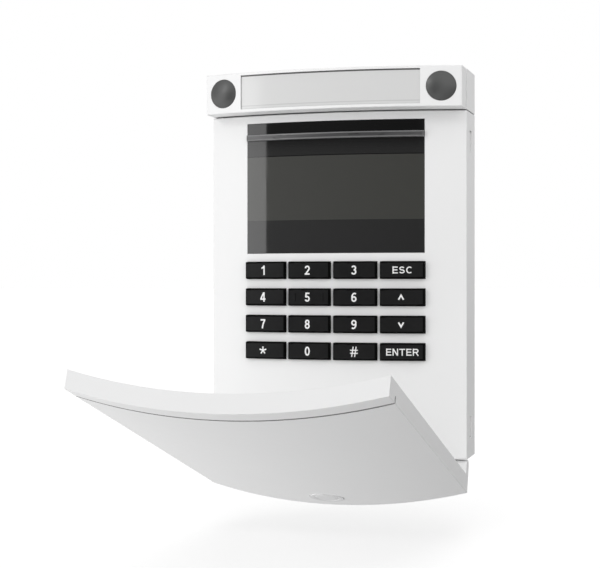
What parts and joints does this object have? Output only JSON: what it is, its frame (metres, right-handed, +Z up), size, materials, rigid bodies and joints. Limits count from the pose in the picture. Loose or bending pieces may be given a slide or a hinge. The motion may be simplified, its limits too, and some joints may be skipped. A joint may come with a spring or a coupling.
{
  "type": "alarm keypad panel",
  "caption": "Wall-mounted alarm keypad with a curved display window, push keys, a hinged cover flap and a control segment with two push buttons.",
  "frame": {"origin": "centre of the case's wall face, on the wall plane", "axes": "+X to the reader's right, +Y into the wall, +Z up"},
  "size_m": [0.102, 0.1481, 0.1671],
  "materials": {
    "white_shell": "fine matt moulded plastic",
    "white_inner": "plain moulded plastic",
    "display_gloss": "polished dark window",
    "rail_dark": "satin dark plastic",
    "lcd_grey": "display glass behind the window",
    "lcd_backlight": "diffuser",
    "flex_film": "flexible circuit",
    "silicone": "soft rubber",
    "bumper_clear": "translucent soft rubber",
    "circuit_board": "solder resist",
    "screw_steel": "zinc plated",
    "chip_black": "moulded component bodies",
    "copper": "copper track",
    "terminal_green": "terminal housing",
    "frosted_window": "frosted light window",
    "label_paper": "blank label card",
    "led_lens": "clear epoxy",
    "key_black": "satin black key cap",
    "button_grey": "satin dark grey",
    "magnet_nickel": "nickel plated",
    "badge_silver": "blank badge"
  },
  "bodies": {
    "case": {"front_cover": "white_shell", "back_plate": "white_inner", "display_window": "display_gloss", "window_rail": "rail_dark", "lcd_glass": "lcd_grey", "lcd_backlight": "lcd_backlight", "lcd_holder": "white_inner", "lcd_flex_cable": "flex_film", "keypad_membrane": "silicone", "main_board": "circuit_board", "board_screws": "screw_steel", "board_components": "chip_black", "buzzer": "chip_black", "flap_sensor": "chip_black", "reader_antenna": "copper", "terminal_block": "terminal_green", "terminal_screws": "screw_steel", "tamper_switch": "chip_black", "tamper_spring": "screw_steel", "segment_base": "white_shell", "segment_front_frame": "white_shell", "segment_window": "frosted_window", "segment_label": "label_paper", "segment_board": "circuit_board", "segment_connector": "chip_black", "segment_leds": "led_lens", "segment_switches": "chip_black"},
    "flap": {"flap_shell": "white_shell", "flap_inner_panel": "white_inner", "flap_pull_trim": "white_shell", "flap_hinge_pins": "screw_steel", "flap_bumpers": "bumper_clear", "flap_magnet": "magnet_nickel", "flap_badge": "badge_silver"},
    "key_1": {"key_1": "key_black"},
    "key_2": {"key_2": "key_black"},
    "key_3": {"key_3": "key_black"},
    "key_esc": {"key_esc": "key_black"},
    "key_4": {"key_4": "key_black"},
    "key_5": {"key_5": "key_black"},
    "key_6": {"key_6": "key_black"},
    "key_up": {"key_up": "key_black"},
    "key_7": {"key_7": "key_black"},
    "key_8": {"key_8": "key_black"},
    "key_9": {"key_9": "key_black"},
    "key_down": {"key_down": "key_black"},
    "key_star": {"key_star": "key_black"},
    "key_0": {"key_0": "key_black"},
    "key_hash": {"key_hash": "key_black"},
    "key_enter": {"key_enter": "key_black"},
    "segment_button_left": {"segment_button_left": "button_grey"},
    "segment_button_right": {"segment_button_right": "button_grey"},
    "tamper_plunger": {"tamper_plunger": "white_inner"}
  },
  "joints": [
    {"name": "flap_hinge", "type": "hinge", "parent": "case", "child": "flap", "pos_m": [0, -0.016, -0.06875], "axis": [1, 0, 0], "range_deg": [-69.84, 40]},
    {"name": "key_1_press", "type": "slide", "parent": "case", "child": "key_1", "axis": [0, 1, 0], "range_m": [0, 0.001], "stiffness_N_per_m": 300},
    {"name": "key_2_press", "type": "slide", "parent": "case", "child": "key_2", "axis": [0, 1, 0], "range_m": [0, 0.001], "stiffness_N_per_m": 300},
    {"name": "key_3_press", "type": "slide", "parent": "case", "child": "key_3", "axis": [0, 1, 0], "range_m": [0, 0.001], "stiffness_N_per_m": 300},
    {"name": "key_esc_press", "type": "slide", "parent": "case", "child": "key_esc", "axis": [0, 1, 0], "range_m": [0, 0.001], "stiffness_N_per_m": 300},
    {"name": "key_4_press", "type": "slide", "parent": "case", "child": "key_4", "axis": [0, 1, 0], "range_m": [0, 0.001], "stiffness_N_per_m": 300},
    {"name": "key_5_press", "type": "slide", "parent": "case", "child": "key_5", "axis": [0, 1, 0], "range_m": [0, 0.001], "stiffness_N_per_m": 300},
    {"name": "key_6_press", "type": "slide", "parent": "case", "child": "key_6", "axis": [0, 1, 0], "range_m": [0, 0.001], "stiffness_N_per_m": 300},
    {"name": "key_up_press", "type": "slide", "parent": "case", "child": "key_up", "axis": [0, 1, 0], "range_m": [0, 0.001], "stiffness_N_per_m": 300},
    {"name": "key_7_press", "type": "slide", "parent": "case", "child": "key_7", "axis": [0, 1, 0], "range_m": [0, 0.001], "stiffness_N_per_m": 300},
    {"name": "key_8_press", "type": "slide", "parent": "case", "child": "key_8", "axis": [0, 1, 0], "range_m": [0, 0.001], "stiffness_N_per_m": 300},
    {"name": "key_9_press", "type": "slide", "parent": "case", "child": "key_9", "axis": [0, 1, 0], "range_m": [0, 0.001], "stiffness_N_per_m": 300},
    {"name": "key_down_press", "type": "slide", "parent": "case", "child": "key_down", "axis": [0, 1, 0], "range_m": [0, 0.001], "stiffness_N_per_m": 300},
    {"name": "key_star_press", "type": "slide", "parent": "case", "child": "key_star", "axis": [0, 1, 0], "range_m": [0, 0.001], "stiffness_N_per_m": 300},
    {"name": "key_0_press", "type": "slide", "parent": "case", "child": "key_0", "axis": [0, 1, 0], "range_m": [0, 0.001], "stiffness_N_per_m": 300},
    {"name": "key_hash_press", "type": "slide", "parent": "case", "child": "key_hash", "axis": [0, 1, 0], "range_m": [0, 0.001], "stiffness_N_per_m": 300},
    {"name": "key_enter_press", "type": "slide", "parent": "case", "child": "key_enter", "axis": [0, 1, 0], "range_m": [0, 0.001], "stiffness_N_per_m": 300},
    {"name": "segment_button_left_press", "type": "slide", "parent": "case", "child": "segment_button_left", "axis": [0, 1, 0], "range_m": [0, 0.0008], "stiffness_N_per_m": 400},
    {"name": "segment_button_right_press", "type": "slide", "parent": "case", "child": "segment_button_right", "axis": [0, 1, 0], "range_m": [0, 0.0008], "stiffness_N_per_m": 400},
    {"name": "tamper_plunger_slide", "type": "slide", "parent": "case", "child": "tamper_plunger", "axis": [0, 1, 0], "range_m": [0, 0.0015], "stiffness_N_per_m": 100, "springref_m": 0.002, "deforming": ["tamper_spring"]}
  ]
}
